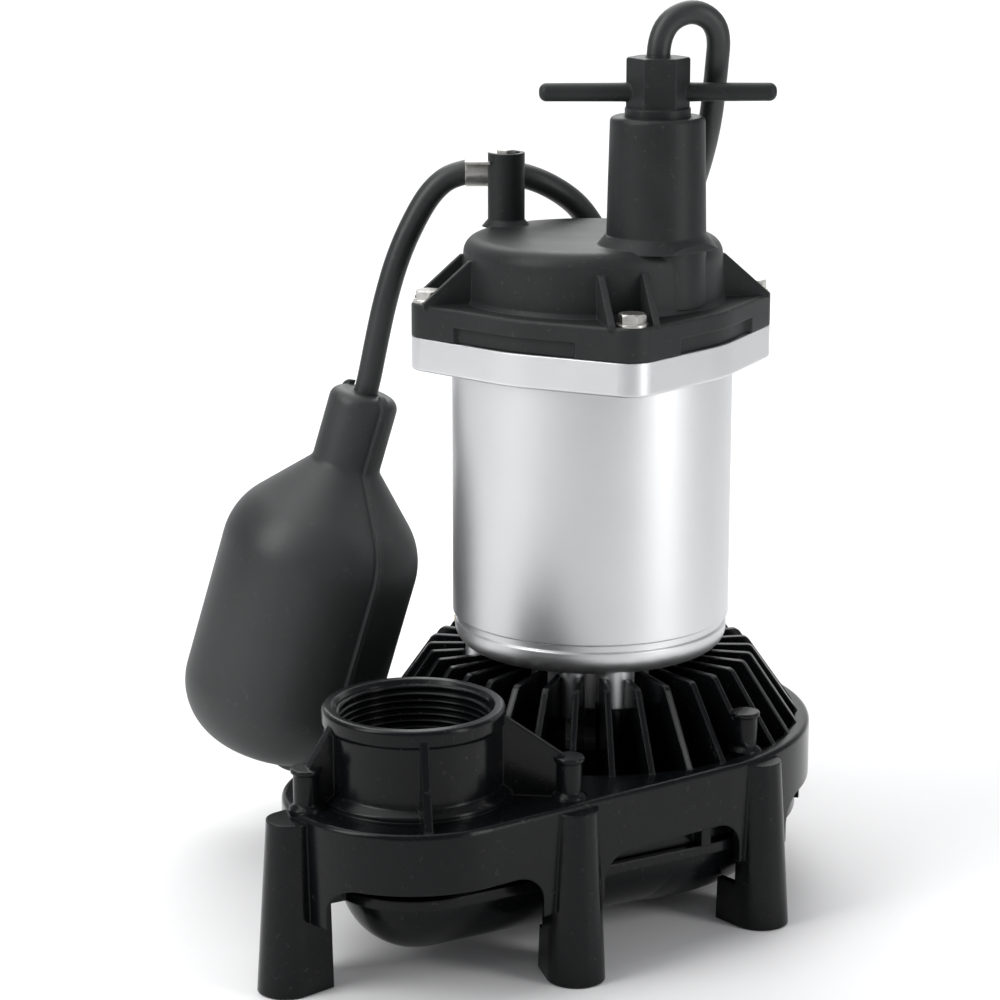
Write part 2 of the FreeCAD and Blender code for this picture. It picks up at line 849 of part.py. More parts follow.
def impeller():
    """Open impeller: a back disc with a hub and curved vanes that face the eye."""
    hub_r = 10.0
    disc_top = impeller_bottom + 3
    body = fuse(
        disc(impeller_r, impeller_bottom, disc_top),
        disc(hub_r, impeller_bottom, impeller_top),
    )
    vane = curved_vane(hub_r - 1, impeller_r, 55.0, 2.6, disc_top - 0.5, impeller_top - 0.2)
    body = body.fuse(around(vane, 6)).removeSplitter()
    keep = disc(impeller_r, impeller_bottom - 1, impeller_top + 1)
    body = body.common(keep)
    return body.cut(disc(insert_r + press_gap, impeller_bottom - 1, impeller_top + 1))


def curved_vane(inner, outer, sweep, thick, low, high):
    """A vane that leans back as it runs out, bounded by two arcs."""
    def arc(shift):
        start, end = polar(inner, shift), polar(outer + 1.5, shift - sweep)
        middle = polar((inner + outer) * 0.52, shift - sweep * 0.36)
        return start, middle, end

    def lifted(points):
        return [p + UP * low for p in points]

    turn = math.degrees(thick / outer)
    a, b = lifted(arc(turn)), lifted(arc(-turn))
    edges = [
        Part.Arc(*a).toShape(),
        Part.LineSegment(a[2], b[2]).toShape(),
        Part.Arc(b[2], b[1], b[0]).toShape(),
        Part.LineSegment(b[0], a[0]).toShape(),
    ]
    return Part.Face(Part.Wire(edges)).extrude(UP * (high - low))


def impeller_insert():
    """The brass bush moulded in the impeller, screwed on the shaft's end."""
    return ring(insert_r, 4.6 + press_gap, impeller_bottom + 0.5, impeller_top - 0.1)


# ---------------------------------------------------------------- cap


def cap_ribs():
    base_z = housing_top + cap_gap + cap_flange
    rib = plate([
        (drum_r - 3, base_z - 1, 0),
        (screw_circle + 3.2, base_z - 1, 0),
        (screw_circle + 3.2, base_z + 0.8, 0),
        (drum_r - 0.2, base_z + 14.2, 0),
        (drum_r - 3, base_z + 14.2, 0),
    ], 2.2)
    ribs = []
    for side in (-7.2, 7.2):
        moved = rib.copy()
        moved.translate(V(0, side, 0))
        ribs += around(moved, 4)
    return ribs


def cap():
    low = housing_top + cap_gap
    high = low + cap_flange
    flange = lugged(flange_r, lug_r, low, high)
    flange = flange.makeFillet(1.0, [e for e in flange.Edges if is_level(e, high)])
    step = lugged(flange_r + 5, lug_r + 5, low - 1, low + 5)
    step = step.cut(lugged(flange_r - 1.6, lug_r - 1.6, low - 2, low + 6))
    keep = fuse(*around(Part.makeBox(50, 34, 12, V(30, -17, low - 3)), 4))
    flange = flange.cut(step.cut(keep))
    drum = turned_solid([(0, high - 1, 0), (drum_r + 1, high - 1, 0), (drum_r, high + 1.5, 0),
                         (drum_r - 0.6, drum_top, 5.5), (0, drum_top, 0)])
    spigot = disc(housing_r - housing_wall + 0.8 - 0.15, low - 5, low + 0.5)
    tower = cone(tower_foot_r, tower_r, low + 12, tower_top, tower_at)
    tower = tower.makeFillet(1.6, [e for e in tower.Edges if e.Closed and is_level(e, tower_top)])
    foot = cone(tower_foot_r + 3.2, tower_foot_r - 0.3, drum_top - 1, drum_top + 3.2, tower_at)
    foot = foot.common(disc(drum_r + 2.2, drum_top - 3, drum_top + 9))
    post = disc(clamp_post_r, drum_top - 2, clamp_seat + 3.6, clamp_post)
    post_foot = cone(clamp_post_r + 2, clamp_post_r - 0.2, drum_top - 0.5, drum_top + 2, clamp_post)
    body = fuse(flange, drum, spigot, tower, foot, post, post_foot, *cap_ribs())
    body = body.cut(turned_solid([
        (0, low - 6, 0),
        (drum_r - cap_wall, low - 6, 0),
        (drum_r - cap_wall - 0.6, drum_top - cap_wall, 4),
        (0, drum_top - cap_wall, 0),
    ]))
    body = body.cut(disc(gland_r, gland_floor, tower_top + 1, tower_at))
    body = body.cut(disc(power_cord_d / 2 + 0.5, low, gland_floor + 1, tower_at))
    body = body.cut(disc(clamp_screw_r, clamp_seat - 13, clamp_seat + 9, clamp_post))
    body = body.cut(clamp_notch())
    for k in range(4):
        at = polar(screw_circle, 90 * k)
        body = body.cut(disc(2.8, low - 1, high + 1, (at.x, at.y)))
    return body


def clamp_facing():
    at = turned(*clamp_at)
    return math.degrees(math.atan2(at.y - clamp_post[1], at.x - clamp_post[0]))


def clamp_notch():
    """The flat on the post where the clamp's tab and the screw sit, open to the clamp."""
    high = clamp_seat + 9
    half = clamp_pad_r + body_gap
    tool = Part.makeBox(20, 2 * half, high - clamp_seat, V(-1.5, -half, clamp_seat))
    tool = placed(tool, clamp_facing(), V(*clamp_post, 0))
    return tool.fuse(disc(half, clamp_seat, high, clamp_post))


def hex_screw(flats, washer_r, head, seat, tip, radius, at, turn):
    """A hex screw with its washer, pointing down."""
    washer = disc(washer_r, seat, seat + 0.9, at)
    top = hexagon(flats, seat + 0.8, seat + 0.9 + head, at, turn)
    chamfer = cone(flats * 0.66, flats * 0.5, seat + 0.4 + head * 0.75, seat + 0.91 + head, at)
    limit = fuse(chamfer, disc(flats, seat, seat + 0.41 + head * 0.75, at))
    shank = disc(radius, tip, seat + 0.1, at)
    return fuse(washer, top.common(limit), shank)


def cap_screws():
    seat = housing_top + cap_gap + cap_flange
    screws = []
    for k in range(4):
        at = polar(screw_circle, 90 * k)
        screws.append(hex_screw(8.0, 5.1, 3.1, seat, flange_bottom + 4, 2.1, (at.x, at.y), 12 * k))
    return screws


def cap_seal():
    return Part.makeTorus(housing_r + 1.0, 1.15, V(0, 0, housing_top - 0.85))


def clamp():
    """The sheet-metal loop round the float's cord, with its tab on the post."""
    at = turned(*clamp_at)
    facing = clamp_facing()
    inner = float_cord_d / 2 + 0.12
    outer = inner + clamp_sheet
    centre = V(at.x, at.y, clamp_z)
    cord_way = polar(1, front_turn)
    loop = rod(outer, centre - cord_way * (clamp_width / 2), centre + cord_way * (clamp_width / 2))
    across = polar(1, front_turn - 90)
    reach = turned(*clamp_at) - V(*clamp_post, 0)
    tab_length = abs(reach.dot(across)) + 4.6
    tab = Part.makeBox(clamp_width, tab_length, clamp_sheet, V(-clamp_width / 2, -tab_length, 0))
    tab.rotate(ORIGIN, UP, front_turn)
    tab.translate(V(at.x, at.y, clamp_z + inner))
    body = fuse(loop, tab)
    body = body.cut(rod(inner, centre - cord_way * clamp_width, centre + cord_way * clamp_width))
    pad = disc(clamp_pad_r, clamp_z + inner, clamp_z + outer, clamp_post)
    arm = Part.makeBox((reach.Length), 7.6, clamp_sheet, V(0, -3.8, 0))
    arm = placed(arm, facing, V(clamp_post[0], clamp_post[1], clamp_z + inner))
    body = fuse(body, pad, arm)
    body = body.cut(rod(inner, centre - cord_way * clamp_width, centre + cord_way * clamp_width))
    return body.cut(disc(clamp_screw_r + 0.3, clamp_z, clamp_z + 12, clamp_post))


def clamp_screw():
    seat = clamp_z + float_cord_d / 2 + 0.12 + clamp_sheet
    return hex_screw(6.2, 3.9, 2.9, seat, clamp_seat - 11, clamp_screw_r - press_gap, clamp_post, 20)


# ---------------------------------------------------------------- gland


def gland_nut():
    """The packing nut with its hollow stem and two bars."""
    nut = hexagon(nut_flats, nut_bottom, nut_top, tower_at, bar_turn)
    limit = cone(nut_flats * 0.63, nut_flats * 0.55, nut_top - 1.6, nut_top + 0.01, tower_at)
    limit = fuse(limit, disc(nut_flats, nut_bottom, nut_top - 1.6, tower_at))
    stem = disc(gland_r - running_fit, nut_stem_bottom, nut_bottom + 0.5, tower_at)
    bars = []
    for side in (0, 180):
        bar = turned_solid([
            (0, 0, 0), (bar_r + 0.5, 0, 0), (bar_r, 12, 0),
            (bar_r - 0.1, bar_half, 2.4), (0, bar_half, 0),
        ])
        bar.rotate(ORIGIN, V(0, 1, 0), 90)
        bars.append(placed(bar, bar_turn + side, V(tower_at[0], tower_at[1], bar_z)))
    body = fuse(nut.common(limit), stem, *bars)
    return body.cut(disc(power_cord_d / 2 + 0.45, nut_stem_bottom - 1, nut_top + 1, tower_at))


def gland_follower():
    high = nut_stem_bottom - 0.02
    return ring(gland_r - running_fit * 2, power_cord_d / 2 + 0.45, high - follower_thick, high, tower_at)


def gland_grommet():
    high = nut_stem_bottom - follower_thick - 1.2
    body = ring(gland_r - press_gap, power_cord_d / 2 + press_gap, gland_floor + 0.1, high, tower_at)
    return body


# ---------------------------------------------------------------- wiring in the cap


def wire_splices():
    """Three closed splice caps over the joined leads."""
    splices = []
    for angle in window_angles:
        splice = turned_solid([(0, 0, 0), (3.2, 0, 0.6), (3.9, 3, 0), (3.4, 17, 1.6), (0, 17, 0)])
        splices.append(placed(splice, 0, polar(lead_circle, angle, splice_bottom)))
    return splices


def overload_protector():
    """The thermal cut-out strapped to the upper coil head."""
    low = core_top + head_high
    block = prism([(28, -7, 1.5), (38, -7, 1.5), (38, 7, 1.5), (28, 7, 1.5)], low, low + 3.6)
    return placed(block, 90, ORIGIN)


def motor_leads():
    """Three leads from the coil head up to the splices."""
    leads = []
    for angle in window_angles:
        foot = polar(lead_circle, angle)
        leads.append(disc(1.3, core_top + head_high, splice_bottom, (foot.x, foot.y)))
    return leads


def power_cord_tail():
    """The cord's fixed length through the gland, down into the cap."""
    return disc(power_cord_d / 2, drum_top - 13.4, nut_top + 0.5, tower_at)


# ---------------------------------------------------------------- float switch


def float_place():
    """The placement that lays the float's own axis between its two ends."""
    low, high = turned(*float_bottom), turned(*float_top)
    turn = FreeCAD.Rotation(UP, high - low)
    return FreeCAD.Placement(low, turn), (high - low).Length


def on_float(shape):
    copy = shape.copy()
    copy.Placement = float_place()[0].multiply(copy.Placement)
    return copy


def float_profile(shrink):
    """The float's outline (radius, height, rounding), shrunk by its shell."""
    length = float_place()[1]
    r, neck = float_r - shrink, float_neck_r - shrink
    return [
        (0, shrink, 0),
        (r, shrink, 24 - shrink),
        (r, 84, 26 - shrink),
        (neck, 108, 3),
        (neck, length - shrink, max(4 - shrink, 1)),
        (0, length - shrink, 0),
    ]


def float_half(side):
    """One moulded half, with its half of the seam bead."""
    outer = turned_solid(float_profile(0), 180)
    bead = turned_solid(float_profile(-seam_proud), 180)
    bead = bead.common(Part.makeBox(200, seam_half, 260, V(-100, 0, -20)))
    bead = bead.cut(disc(9, float_place()[1] - 1, float_place()[1] + 9))
    body = outer.fuse(bead).removeSplitter()
    hollow = turned_solid(float_profile(float_shell), 360)
    length = float_place()[1]
    body = body.cut(hollow).cut(disc(float_cord_d / 2 + 0.1, length - 12, length + 5))
    body.rotate(ORIGIN, UP, seam_angle + front_turn + 180 * side)
    return on_float(body)


def ball_guide():
    """The tube inside the float that the ball runs in, with its foot, bridge and fins."""
    wall_r = float_ball_r + 2.2
    body = ring(wall_r, float_ball_r + running_fit, guide_foot, guide_top)
    foot = disc(wall_r, guide_foot - 2, guide_foot + 0.2)
    bridge = ring(wall_r, bridge_hole_r, guide_top - 0.2, guide_top + 2)
    reach = float_r - float_shell - press_gap - wall_r + 0.5
    spokes = around(Part.makeBox(reach, 1.8, 30, V(wall_r - 0.5, -0.9, 32)), 4, 45)
    pillar = Part.makeBox(5, 3.4, switch_low - guide_top - 1, V(-2.5, 2.6, guide_top + 1))
    pillars = around(pillar, 2)
    return on_float(fuse(body, foot, bridge, *spokes, *pillars))


def float_ball():
    return on_float(Part.makeSphere(float_ball_r, V(0, 0, float_ball_low)))


def micro_switch():
    """The sealed snap switch above the guide, with its terminals and the lever's two ears."""
    body = prism([(-6, -4, 0.8), (6, -4, 0.8), (6, 4, 0.8), (-6, 4, 0.8)], switch_low, switch_low + 18)
    terminals = [disc(0.9, switch_low + 17, switch_low + 23, (x, 0)) for x in (-3.5, 3.5)]
    ears = []
    for side in (lever_half + 0.4, -lever_half - 1.4):
        ear = Part.makeBox(2.0, 1.0, 4.6, V(-lever_arm - 1, side, lever_z - 1))
        ears.append(ear.cut(lever_pin(running_fit)))
    return on_float(fuse(body, *terminals, *ears))


def lever_pin(gap):
    """The lever's pin, grown by a gap for its holes."""
    half = lever_half + 1.4
    return Part.makeCylinder(0.5 + gap, 2 * half, V(-lever_arm, -half, lever_z), V(0, 1, 0))


def switch_lever():
    """The sprung lever under the switch, with the finger that the ball lifts."""
    arm = Part.makeBox(2 * lever_arm - 0.4, 2 * lever_half, 0.8, V(-lever_arm, -lever_half, lever_z - 0.4))
    knuckle = Part.makeCylinder(0.9, 2 * lever_half, V(-lever_arm, -lever_half, lever_z), V(0, 1, 0))
    finger_tip = float_ball_low + float_ball_travel + float_ball_r + 0.4
    finger = disc(1.2, finger_tip, lever_z)
    finger = finger.makeFillet(0.8, [e for e in finger.Edges if is_level(e, finger_tip)])
    return on_float(fuse(arm, knuckle, lever_pin(0), finger))


def tether_points():
    """The switch cord from the clamp's mouth to the float's neck, in the base layout."""
    return [
        (-44.3, 36.0, 235.0),
        (-50.5, 36.0, 232.6),
        (-58.3, 36.0, 222.8),
        (-65.0, 36.0, 208.0),
        (-70.0, 36.0, 190.5),
        (-73.6, 36.0, 173.5),
        (-76.0, 36.0, 161.4),
        (-79.6, 36.0, 149.0),
    ]


# ---------------------------------------------------------------- cords


def on_coil(diameter, column, angle, z):
    """A point over a coil's inner (-1) or outer (1) column, in the base layout."""
    reach = (coil_across + column) / 2 * diameter
    dx, dy = turn_point(reach, 0, angle)
    return (stack_at[0] + dx, stack_at[1] + dy, z)


def power_coil_top():
    """The height of the middle of the mains coil's top row."""
    return coil_rows * float_cord_d + (coil_rows - 0.5) * power_cord_d


def power_route():
    """The mains cord from the nut over the back of the cap down to its coil."""
    top = power_coil_top()
    return [
        (19.6, -19.4, nut_top + 0.5),
        (19.9, -19.4, 288.5),
        (30.2, -17.8, 294.4),
        (39.4, -14.6, 288.5),
        (38.6, -10.4, 273.0),
        (37.6, -3.6, 257.0),
        (35.5, 7.9, 242.3),
        (32.8, 22.6, 229.0),
        (30.2, 39.1, 214.9),
        (29.0, 55.3, 197.3),
        (30.1, 68.0, 175.5),
        (33.2, 76.0, 151.1),
        (35.5, 80.1, 125.7),
        (33.3, 82.3, 103.2),
        (29.0, 83.8, 88.3),
        (20.6, 86.9, 75.5),
        (8.9, 91.2, 66.1),
        (-5.0, 96.2, top + 0.8),
        on_coil(power_cord_d, 1, -117.6, top),
    ]


def power_end_route():
    """From the top of the mains coil round and up to the plug that lies on the coil."""
    top = power_coil_top()
    climb = ((-40, 0), (-64, 0), (-88, 1.2), (-112, 4.4), (-136, 9.0), (-160, 13.4), (-184, 15.3))
    route = [on_coil(power_cord_d, -1, angle, top + rise) for angle, rise in climb]
    return route + [(-33.6, 152.0, top + 15.3)]


def float_route():
    """The switch cord from the clamp over the back of the cap down to its coil."""
    return [
        (-42.2, 36.0, 235.6),
        (-32.6, 36.0, 235.6),
        (-22.4, 37.2, 234.2),
        (-12.2, 40.8, 229.6),
        (-2.6, 47.6, 221.6),
        (4.8, 54.6, 208.6),
        (8.6, 60.8, 190.6),
        (7.9, 65.2, 170.2),
        (1.6, 69.5, 148.1),
        (-12.6, 71.7, 129.6),
        (-29.9, 74.0, 105.5),
        (-31.3, 76.5, 75.9),
        (-26.6, 78.2, 59.7),
        (-17.5, 81.5, 45.9),
        (-4.8, 86.1, 35.7),
        (10.2, 91.6, 30.2),
        on_coil(float_cord_d, 1, -62.9, (coil_rows - 0.5) * float_cord_d),
    ]


def float_end_route():
    """From the bottom row of the switch coil to the plug that lies behind it."""
    return [
        on_coil(float_cord_d, 1, 0, float_cord_d / 2),
        (51.6, 150.0, float_cord_d / 2),
        (50.8, 165.0, 6.0),
        (46.4, 182.0, 9.4),
        (37.2, 197.0, 12.0),
        (25.0, 208.2, 12.5),
        (17.0, 213.6, 12.5),
    ]


def route_wire(points):
    """Straight runs joined by tangent arcs, each as large as its two runs allow."""
    spots = [turned(*p) for p in points]
    edges, here = [], spots[0]
    radii = []
    for before, corner, after in zip(spots, spots[1:], spots[2:]):
        back, ahead = before - corner, after - corner
        shorter = min(back.Length, ahead.Length)
        half = (math.pi - back.getAngle(ahead)) / 2
        back.normalize()
        ahead.normalize()
        cut = 0.45 * shorter
        radius = cut / math.tan(half)
        radii.append(radius)
        inward = back + ahead
        inward.normalize()
        enter, leave = corner + back * cut, corner + ahead * cut
        middle = corner + inward * (radius / math.cos(half) - radius)
        edges.append(Part.LineSegment(here, enter).toShape())
        edges.append(Part.Arc(enter, middle, leave).toShape())
        here = leave
    edges.append(Part.LineSegment(here, spots[-1]).toShape())
    return Part.Wire(edges), radii


def cord_tube(name, points, diameter):
    """A round tube along a route; prints its length, radii and volume check."""
    path, radii = route_wire(points)
    start = turned(*points[0])
    way = turned(*points[1]) - start
    section = Part.Wire([Part.makeCircle(diameter / 2, start, way)])
    tube = path.makePipeShell([section], True, False)
    expected = path.Length * math.pi * diameter ** 2 / 4
    print(f"{name}: length {path.Length:.1f}, volume ratio {tube.Volume / expected:.4f}")
    print("   radii in diameters:", " ".join(f"{r / diameter:.1f}" for r in radii))
    runs = [(turned(*b) - turned(*a)).Length for a, b in zip(points, points[1:])]
    print("   runs:", " ".join(f"{r:.0f}" for r in runs))
    return tube


def coil(diameter, low):
    """The outer shape of a neat coil lying on low."""
    middle = coil_across * diameter / 2
    wide = coil_columns * diameter / 2
    high = low + coil_rows * diameter
    body = turned_solid([
        (middle - wide, low, diameter * 0.3),
        (middle + wide, low, diameter * 0.3),
        (middle + wide, high, diameter * 0.3),
        (middle - wide, high, diameter * 0.3),
    ])
    return placed(body, 0, turned(*stack_at))


def tapered_relief(low_r, high_r, length):
    """A grooved strain relief along +X from the origin."""
    body = cone(low_r, high_r, 0, length)
    for k in range(4):
        z = 4.5 + 6.0 * k
        groove = ring(high_r + 2, low_r + (high_r - low_r) * z / length - 0.8, z, z + 2.2)
        body = body.cut(groove)
    body.rotate(ORIGIN, V(0, 1, 0), 90)
    return body


def plug_body(grip, length, width, height, cord_d):
    """A moulded three-pin plug with its cord entering at the origin, along +X."""
    relief = tapered_relief(cord_d / 2 + 0.9, height * 0.38, grip)
    block = prism([
        (grip - 3, -height * 0.36, 2), (grip + 6, -width / 2, 5), (grip + length, -width / 2, 2),
        (grip + length, width / 2, 2), (grip + 6, width / 2, 5), (grip - 3, height * 0.36, 2),
    ], -height / 2, height / 2)
    block = block.makeFillet(2.2, [e for e in block.Edges if abs(e.BoundBox.ZLength) < 1e-6])
    return fuse(relief, block)


def plug_pins(reach):
    """Two flat blades and a round earth pin, from reach along +X."""
    length = 17.5
    blades = []
    for side in (-blade_half, blade_half):
        blade = prism([(0, -0.8, 0), (length, -0.8, 0.5), (length, 0.8, 0.5), (0, 0.8, 0)], -1.2, 5.2)
        blade.translate(V(reach - 3, side, 0))
        blades.append(blade)
    pin = turned_solid([(0, 0, 0), (2.4, 0, 0), (2.4, length + 2, 2), (0, length + 2, 0)])
    pin.rotate(ORIGIN, V(0, 1, 0), 90)
    pin.translate(V(reach - 3, 0, -6.0))
    blades.append(pin)
    return blades


def power_plug():
    body = plug_body(plug_grip, plug_length, plug_width, plug_height, power_cord_d)
    body = body.cut(Part.makeCompound(plug_pins(plug_grip + plug_length)))
    return body, plug_pins(plug_grip + plug_length)


def piggyback_plug():
    """The switch's plug, which carries a socket in its back for the pump's own plug."""
    width, height = plug_width + piggy_extra, plug_height + piggy_extra
    body = plug_body(plug_grip, piggy_length, width, height, float_cord_d)
    reach = plug_grip + piggy_length
    body = body.cut(Part.makeCompound(plug_pins(reach)))
    top = height / 2
    for side in (-blade_half, blade_half):
        slot = Part.makeBox(7.5, 2.0, 9, V(plug_grip + 18, side - 1.0, top - 8))
        body = body.cut(slot)
    body = body.cut(disc(2.7, top - 8, top + 1, (plug_grip + 11, 0)))
    return body, plug_pins(reach)


def at_end(shapes, route):
    """Shapes made along +X from the origin, moved to a route's end, level, in its direction."""
    last, end = turned(*route[-2]), turned(*route[-1])
    facing = math.degrees(math.atan2(end.y - last.y, end.x - last.x))
    return [placed(shape, facing, end) for shape in shapes]


def build():
    node("base_casing", base_casing())
    node("volute_casing", lower_casing())
    node("casing_screws", *casing_screws())
    node("motor_screws", *motor_screws())
    node("motor_housing", motor_housing())
    node("stator_core", stator_core())
    node("stator_windings", stator_windings())
    node("rotor_core", rotor_core())
    node("rotor_end_rings", *rotor_end_rings())
    node("motor_shaft", motor_shaft())
    node("upper_bracket", upper_bracket())
    node("upper_bush", upper_bush())
    node("bearing_outer_race", bearing_outer())
    node("bearing_inner_race", bearing_inner())
    node("bearing_balls", *bearing_balls())
    node("bearing_cage", bearing_cage())
    node("seal_seat", seal_seat())
    node("seal_head", seal_head())
    node("impeller", impeller())
    node("impeller_insert", impeller_insert())
    node("motor_cap", cap())
    node("cap_screws", *cap_screws())
    node("cap_seal", cap_seal())
    node("cord_clamp", clamp())
    node("clamp_screw", clamp_screw())
    node("gland_nut", gland_nut())
    node("gland_follower", gland_follower())
    node("gland_grommet", gland_grommet())
    node("wire_splices", *wire_splices())
    node("overload_protector", overload_protector())
    node("motor_leads", *motor_leads())
    node("power_cord_tail", power_cord_tail())
    node("float_front_half", float_half(0))
    node("float_back_half", float_half(1))
    node("ball_guide", ball_guide())
    node("float_ball", float_ball())
    node("micro_switch", micro_switch())
    node("switch_lever", switch_lever())
    node("float_tether", cord_tube("float_tether", tether_points(), float_cord_d))
    node("power_cord_run", cord_tube("power_cord_run", power_route(), power_cord_d))
    node("float_cord_run", cord_tube("float_cord_run", float_route(), float_cord_d))
    node("float_cord_coil", coil(float_cord_d, 0))
    node("power_cord_coil", coil(power_cord_d, coil_rows * float_cord_d))
    node("power_cord_end", cord_tube("power_cord_end", power_end_route(), power_cord_d))
    node("float_cord_end", cord_tube("float_cord_end", float_end_route(), float_cord_d))
    plug, pins = power_plug()
    node("power_plug", *at_end([plug], power_end_route()))
    node("power_plug_pins", *at_end(pins, power_end_route()))
    plug, pins = piggyback_plug()
    node("float_plug", *at_end([plug], float_end_route()))
    node("float_plug_pins", *at_end(pins, float_end_route()))


build()
os.makedirs("parts", exist_ok=True)
for name, shape in made.items():
    shape.translate(V(*stand_at, 0))
    bad = "" if shape.isValid() else "  NOT VALID"
    print(f"{name:22s} {len(shape.Solids):3d} solids {shape.Volume / 1000:9.2f} cm3{bad}")
    shape.exportStep(f"parts/{name}.step")
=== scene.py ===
import json
from math import cos, pi, radians, sin

import bmesh
import bpy
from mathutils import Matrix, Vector


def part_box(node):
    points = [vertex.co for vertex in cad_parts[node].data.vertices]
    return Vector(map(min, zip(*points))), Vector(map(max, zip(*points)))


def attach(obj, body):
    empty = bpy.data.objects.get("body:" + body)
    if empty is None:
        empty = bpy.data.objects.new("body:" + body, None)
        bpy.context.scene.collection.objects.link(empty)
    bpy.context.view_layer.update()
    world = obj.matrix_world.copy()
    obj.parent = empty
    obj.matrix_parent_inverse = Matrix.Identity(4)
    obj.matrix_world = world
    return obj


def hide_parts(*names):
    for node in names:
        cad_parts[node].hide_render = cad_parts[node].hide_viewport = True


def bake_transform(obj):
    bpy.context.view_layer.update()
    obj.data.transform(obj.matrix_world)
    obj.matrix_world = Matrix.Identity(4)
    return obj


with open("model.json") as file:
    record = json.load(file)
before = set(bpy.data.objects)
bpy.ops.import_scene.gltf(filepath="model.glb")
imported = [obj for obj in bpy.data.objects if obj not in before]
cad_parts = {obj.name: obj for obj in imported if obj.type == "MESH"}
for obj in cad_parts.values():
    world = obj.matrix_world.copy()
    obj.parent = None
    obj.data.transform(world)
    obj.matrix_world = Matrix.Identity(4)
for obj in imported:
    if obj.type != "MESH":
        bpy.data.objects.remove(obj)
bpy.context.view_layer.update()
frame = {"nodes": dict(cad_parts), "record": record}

scene = bpy.context.scene
mm = 0.001

# The base, the cords and the camera are laid out square to the front of the base,
# which is turned a little from the cap's lugs.
frontTurn = radians(-11.2)
motorAxis = (28.9, 10.5)      # where the motor axis stands, mm


def turned(x, y, z=0.0):
    # base layout in millimetres, about the motor axis -> the part's own frame in metres
    c, s = cos(frontTurn), sin(frontTurn)
    return Vector(((x * c - y * s + motorAxis[0]) * mm, (x * s + y * c + motorAxis[1]) * mm, z * mm))


print("camera")

view = {
    "place": (-30.5, -957.6, 366.0),
    "tilt": 76.15,
    "lens": 106.03,
    "sensor": 36.0,
    "far": 20.0,
}
cameraData = bpy.data.cameras.new("camera")
cameraData.lens = view["lens"]
cameraData.sensor_width = view["sensor"]
cameraData.clip_end = view["far"]
camera = bpy.data.objects.new("camera", cameraData)
camera.location = turned(*view["place"])
camera.rotation_euler = (radians(view["tilt"]), 0.0, frontTurn)
scene.collection.objects.link(camera)
scene.camera = camera


def socket(node, name):
    return node.inputs[name]


# Each finish is a few noises that move its colour, roughness and bump.
# the metal edge amount sets how far metal edges brighten: partly wear, partly a painted highlight
finishDetail = {"bevelSamples": 4, "sharpest": 0.86, "bumpStrength": 0.6, "dustRough": 0.25, "metalEdgeWearAndHighlight": 0.5}


class Finish:
    # one material and the nodes that feed it
    def __init__(self, name):
        self.material = bpy.data.materials.new(name)
        self.material.use_nodes = True
        self.tree = self.material.node_tree
        self.shader = self.tree.nodes["Principled BSDF"]
        coords = self.add("ShaderNodeTexCoord")
        self.place = coords.outputs["Object"]

    def add(self, kind, **settings):
        node = self.tree.nodes.new(kind)
        for key, value in settings.items():
            setattr(node, key, value)
        return node

    def link(self, source, target):
        self.tree.links.new(source, target)

    def stretch(self, x, y, z):
        mapping = self.add("ShaderNodeMapping")
        socket(mapping, "Scale").default_value = (x, y, z)
        self.link(self.place, socket(mapping, "Vector"))
        return mapping.outputs["Vector"]

    def noise(self, scale, detail=3.0, rough=0.55, where=None):
        node = self.add("ShaderNodeTexNoise")
        socket(node, "Scale").default_value = scale
        socket(node, "Detail").default_value = detail
        socket(node, "Roughness").default_value = rough
        self.link(where or self.place, socket(node, "Vector"))
        return node.outputs["Fac"]

    def ramp(self, value, low, high, toLow, toHigh):
        node = self.add("ShaderNodeMapRange")
        socket(node, "From Min").default_value = low
        socket(node, "From Max").default_value = high
        socket(node, "To Min").default_value = toLow
        socket(node, "To Max").default_value = toHigh
        self.link(value, socket(node, "Value"))
        return node.outputs["Result"]

    def math(self, how, a, b):
        node = self.add("ShaderNodeMath", operation=how)
        for k, value in enumerate((a, b)):
            if isinstance(value, float):
                node.inputs[k].default_value = value
            else:
                self.link(value, node.inputs[k])
        return node.outputs["Value"]

    def mix(self, amount, first, second):
        node = self.add("ShaderNodeMix", data_type="RGBA")
        self.link(amount, node.inputs["Factor"])
        for name, colour in (("A", first), ("B", second)):
            target = [s for s in node.inputs if s.name == name and s.type == "RGBA"][0]
            if isinstance(colour, tuple):
                target.default_value = (*colour, 1.0)
            else:
                self.link(colour, target)
        return [s for s in node.outputs if s.type == "RGBA"][0]

    def edges(self, width):
        # 0 on flat faces, up to 1 on edges narrower than the width; it lightens edges, partly as wear and
        # partly as a painted highlight
        bevel = self.add("ShaderNodeBevel", samples=finishDetail["bevelSamples"])
        socket(bevel, "Radius").default_value = width
        geometry = self.add("ShaderNodeNewGeometry")
        dot = self.add("ShaderNodeVectorMath", operation="DOT_PRODUCT")
        self.link(bevel.outputs["Normal"], dot.inputs[0])
        self.link(geometry.outputs["Normal"], dot.inputs[1])
        edgeWearAndHighlightMask = self.ramp(dot.outputs["Value"], 1.0, finishDetail["sharpest"], 0.0, 1.0)
        return edgeWearAndHighlightMask, bevel.outputs["Normal"]

    def finish(self, colour, roughness, height, depth, normal=None):
        self.link(colour, socket(self.shader, "Base Color"))
        self.link(roughness, socket(self.shader, "Roughness"))
        bump = self.add("ShaderNodeBump")
        socket(bump, "Distance").default_value = depth
        socket(bump, "Strength").default_value = finishDetail["bumpStrength"]
        self.link(height, socket(bump, "Height"))
        if normal is not None:
            self.link(normal, socket(bump, "Normal"))
        self.link(bump.outputs["Normal"], socket(self.shader, "Normal"))
        return self.material


